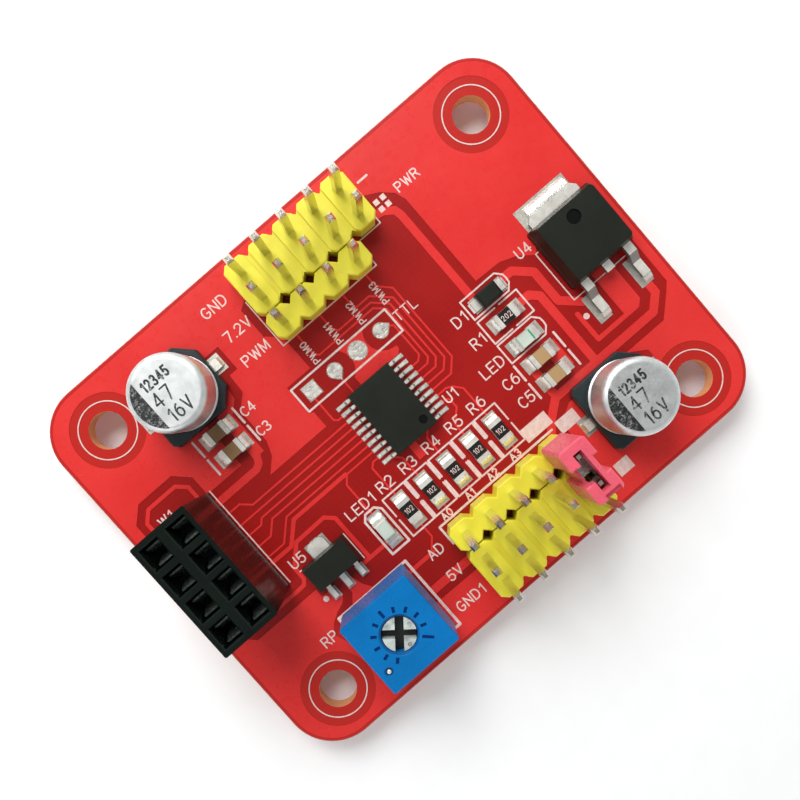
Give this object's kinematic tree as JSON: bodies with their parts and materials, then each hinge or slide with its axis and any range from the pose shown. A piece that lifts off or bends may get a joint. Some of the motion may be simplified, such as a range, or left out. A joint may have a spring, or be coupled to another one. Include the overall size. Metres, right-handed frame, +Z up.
{
  "type": "servo driver board",
  "caption": "Small red driver board with servo and sensor pin headers, a plug-in radio socket, a trimmer, regulators and corner mounting holes.",
  "frame": {"origin": "centre of the four mounting holes, on the board's underside", "axes": "+X along the board's long side towards the main regulator, +Y towards the servo header, +Z up from the underside to the parts"},
  "size_m": [0.0495, 0.0377, 0.0122],
  "materials": {
    "board_laminate": "gloss solder mask",
    "plated_copper": "satin",
    "tinned_land": "satin",
    "solder": "bright",
    "yellow_plastic": "semi-matte",
    "pin_metal": "bright",
    "jumper_plastic": "satin",
    "contact_metal": "bright",
    "socket_plastic": "satin",
    "capacitor_base_plastic": "satin",
    "capacitor_aluminium": "satin",
    "seal_rubber": "matte",
    "winding_paper": "matte",
    "lead_tin": "bright",
    "trimmer_plastic": "satin",
    "rotor_plastic": "satin",
    "alumina": "matte",
    "sealant_epoxy": "gloss",
    "chip_epoxy": "fine matte",
    "silicon": "polished",
    "light_base_plastic": "satin",
    "light_lens": "clear moulded resin",
    "resistor_glaze": "gloss",
    "capacitor_ceramic": "satin",
    "mask_over_copper": "gloss solder mask",
    "legend_ink": "flat printed ink",
    "marking_ink": "flat printed ink"
  },
  "bodies": {
    "board": {"circuit_board": "board_laminate", "plated_holes": "plated_copper", "surface_pads": "tinned_land", "serial_pads": "solder", "pin_solder_joints": "solder", "surface_solder_joints": "solder", "servo_power_housing": "yellow_plastic", "servo_signal_housing": "yellow_plastic", "sensor_power_housing": "yellow_plastic", "sensor_signal_housing": "yellow_plastic", "servo_power_pins": "pin_metal", "servo_signal_pins": "pin_metal", "sensor_power_pins": "pin_metal", "sensor_signal_pins": "pin_metal", "radio_socket_housing": "socket_plastic", "radio_socket_contacts": "contact_metal", "input_capacitor_base": "capacitor_base_plastic", "input_capacitor_can": "capacitor_aluminium", "input_capacitor_seal": "seal_rubber", "input_capacitor_winding": "winding_paper", "input_capacitor_leads": "lead_tin", "output_capacitor_base": "capacitor_base_plastic", "output_capacitor_can": "capacitor_aluminium", "output_capacitor_seal": "seal_rubber", "output_capacitor_winding": "winding_paper", "output_capacitor_leads": "lead_tin", "trimmer_housing": "trimmer_plastic", "trimmer_track": "alumina", "trimmer_pins": "lead_tin", "trimmer_sealant": "sealant_epoxy", "trimmer_ring": "seal_rubber", "microcontroller_body": "chip_epoxy", "microcontroller_leads": "lead_tin", "microcontroller_paddle": "plated_copper", "microcontroller_die": "silicon", "main_regulator_body": "chip_epoxy", "main_regulator_tab": "lead_tin", "main_regulator_leads": "lead_tin", "main_regulator_die": "silicon", "small_regulator_body": "chip_epoxy", "small_regulator_tab": "lead_tin", "small_regulator_leads": "lead_tin", "diode_body": "chip_epoxy", "diode_terminals": "lead_tin", "power_light_base": "light_base_plastic", "power_light_terminals": "lead_tin", "power_light_lens": "light_lens", "status_light_base": "light_base_plastic", "status_light_terminals": "lead_tin", "status_light_lens": "light_lens", "resistor_ceramics": "alumina", "resistor_films": "resistor_glaze", "resistor_terminals": "lead_tin", "ceramic_capacitor_bodies": "capacitor_ceramic", "ceramic_capacitor_terminals": "lead_tin"},
    "rotor": {"trimmer_rotor": "rotor_plastic", "trimmer_wiper": "contact_metal"},
    "jumper": {"jumper_housing": "jumper_plastic", "jumper_clip": "contact_metal"}
  },
  "joints": [
    {"name": "trimmer_turn", "type": "hinge", "parent": "board", "child": "rotor", "pos_m": [-0.0123, -0.01336, 0.005], "axis": [0, 0, 1], "range_deg": [-130, 130]},
    {"name": "jumper_pull", "type": "slide", "parent": "board", "child": "jumper", "axis": [0, 0, 1], "range_m": [0, 0.007]}
  ]
}
